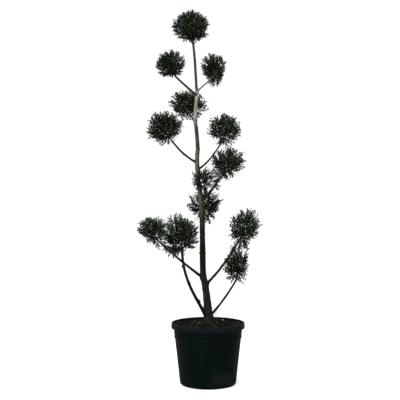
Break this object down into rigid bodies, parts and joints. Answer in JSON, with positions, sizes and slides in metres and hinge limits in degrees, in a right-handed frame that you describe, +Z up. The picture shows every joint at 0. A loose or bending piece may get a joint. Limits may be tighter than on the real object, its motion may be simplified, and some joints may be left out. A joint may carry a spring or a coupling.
{
  "type": "potted leyland cypress pompon topiary",
  "caption": "Pompon topiary in a black nursery pot: a leyland cypress with a leaning bare trunk, curved bare boughs and separate clipped balls of dark green foliage.",
  "frame": {"origin": "centre of the pot's flat underside, which stands on the ground", "axes": "+Z up along the pot's axis, -Y towards the viewer of the picture, +X to that viewer's right"},
  "size_m": [0.5715, 0.4022, 1.7202],
  "materials": {
    "pot_plastic": "satin",
    "soil": "matte",
    "bark": "matte",
    "foliage": "matte"
  },
  "bodies": {
    "root": {"pot": "pot_plastic", "soil": "soil", "trunk": "bark", "bough_upper_left": "bark", "bough_upper_right": "bark", "bough_upper_back": "bark", "bough_middle_left": "bark", "bough_middle_right": "bark", "bough_middle_front": "bark", "bough_inner_front": "bark", "bough_inner_back": "bark", "bough_lower_far_left": "bark", "bough_lower_left": "bark", "bough_lower_right": "bark", "bough_low_right": "bark", "pompon_top": "foliage", "pompon_upper_left": "foliage", "pompon_upper_right": "foliage", "pompon_upper_back": "foliage", "pompon_middle_left": "foliage", "pompon_middle_right": "foliage", "pompon_middle_front": "foliage", "pompon_inner_front": "foliage", "pompon_inner_back": "foliage", "pompon_lower_far_left": "foliage", "pompon_lower_left": "foliage", "pompon_lower_right": "foliage", "pompon_low_right": "foliage"}
  },
  "joints": []
}
